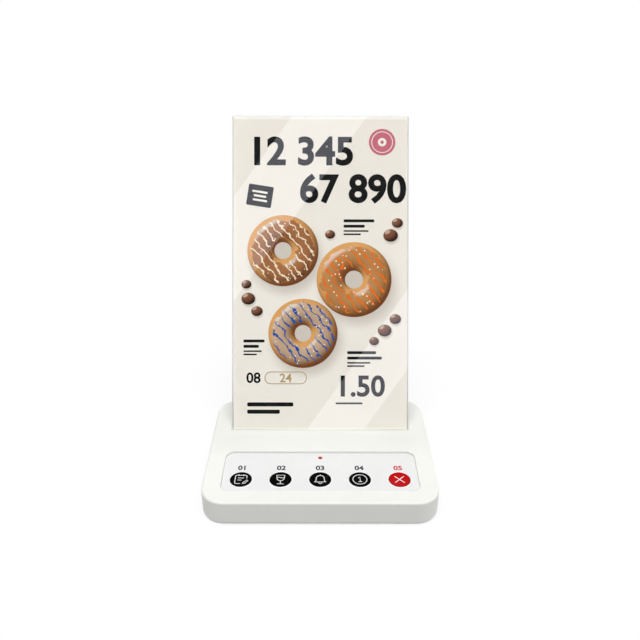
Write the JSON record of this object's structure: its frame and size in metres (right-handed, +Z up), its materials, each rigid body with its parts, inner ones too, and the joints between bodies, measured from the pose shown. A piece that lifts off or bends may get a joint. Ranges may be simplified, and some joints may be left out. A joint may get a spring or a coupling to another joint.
{
  "type": "waiter call button",
  "caption": "Low desk housing with a row of round keys, an indicator light and a slanted clear holder for a menu card.",
  "frame": {"origin": "middle of the housing's footprint, at the level of the table that the feet stand on", "axes": "+X to the right seen from the keys' side, +Y from the keys to the back, +Z up"},
  "size_m": [0.11, 0.133, 0.1581],
  "materials": {
    "cover_plastic": "warm white, satin gloss",
    "film": "printed film, satin",
    "dark_key": "black with a white printed sign",
    "red_key": "red with a white printed sign",
    "lens": "tinted, clear",
    "foot_rubber": "matt dark grey",
    "screw_steel": "zinc plated",
    "circuit_board": "green solder mask",
    "chip_plastic": "black moulded",
    "plated_metal": "nickel plated",
    "led_resin": "clear resin",
    "ceramic": "brown ceramic",
    "antenna_wire": "bare copper",
    "clear_panel": "clear, polished",
    "card_print": "satin print on synthetic paper"
  },
  "bodies": {
    "base": {"top_cover": "cover_plastic", "bottom_cover": "cover_plastic", "keypad_film": "film", "indicator_lens": "lens", "front_left_foot": "foot_rubber", "front_right_foot": "foot_rubber", "rear_left_foot": "foot_rubber", "rear_right_foot": "foot_rubber", "housing_screws": "screw_steel", "board_screws": "screw_steel", "main_board": "circuit_board", "control_chip": "chip_plastic", "radio_chip": "chip_plastic", "order_switch_housing": "chip_plastic", "water_switch_housing": "chip_plastic", "call_switch_housing": "chip_plastic", "bill_switch_housing": "chip_plastic", "cancel_switch_housing": "chip_plastic", "crystal": "plated_metal", "cap_contact": "plated_metal", "can_contact": "plated_metal", "order_switch_frame": "plated_metal", "water_switch_frame": "plated_metal", "call_switch_frame": "plated_metal", "bill_switch_frame": "plated_metal", "cancel_switch_frame": "plated_metal", "indicator_led": "led_resin", "small_parts": "ceramic", "antenna": "antenna_wire"},
    "order_key": {"order_key_cap": "dark_key", "order_switch_plunger": "chip_plastic"},
    "water_key": {"water_key_cap": "dark_key", "water_switch_plunger": "chip_plastic"},
    "call_key": {"call_key_cap": "dark_key", "call_switch_plunger": "chip_plastic"},
    "bill_key": {"bill_key_cap": "dark_key", "bill_switch_plunger": "chip_plastic"},
    "cancel_key": {"cancel_key_cap": "red_key", "cancel_switch_plunger": "chip_plastic"},
    "menu_holder": {"front_panel": "clear_panel", "rear_panel": "clear_panel", "left_strip": "clear_panel", "right_strip": "clear_panel", "bottom_strip": "clear_panel"},
    "menu_card": {"menu_card": "card_print"},
    "battery_door": {"battery_door": "cover_plastic", "coin_cell": "plated_metal"}
  },
  "joints": [
    {"name": "order_press", "type": "slide", "parent": "base", "child": "order_key", "axis": [0, 0, -1], "range_m": [0, 0.0004], "stiffness_N_per_m": 4000},
    {"name": "water_press", "type": "slide", "parent": "base", "child": "water_key", "axis": [0, 0, -1], "range_m": [0, 0.0004], "stiffness_N_per_m": 4000},
    {"name": "call_press", "type": "slide", "parent": "base", "child": "call_key", "axis": [0, 0, -1], "range_m": [0, 0.0004], "stiffness_N_per_m": 4000},
    {"name": "bill_press", "type": "slide", "parent": "base", "child": "bill_key", "axis": [0, 0, -1], "range_m": [0, 0.0004], "stiffness_N_per_m": 4000},
    {"name": "cancel_press", "type": "slide", "parent": "base", "child": "cancel_key", "axis": [0, 0, -1], "range_m": [0, 0.0004], "stiffness_N_per_m": 4000},
    {"name": "holder_lift", "type": "slide", "parent": "base", "child": "menu_holder", "axis": [0, 0.4617, 0.887], "range_m": [0, 0.02]},
    {"name": "card_lift", "type": "slide", "parent": "menu_holder", "child": "menu_card", "axis": [0, 0.4617, 0.887], "range_m": [0, 0.16]},
    {"name": "door_turn", "type": "hinge", "parent": "base", "child": "battery_door", "pos_m": [0, -0.01, 0.0008], "axis": [0, 0, -1], "range_deg": [0, 45]}
  ]
}
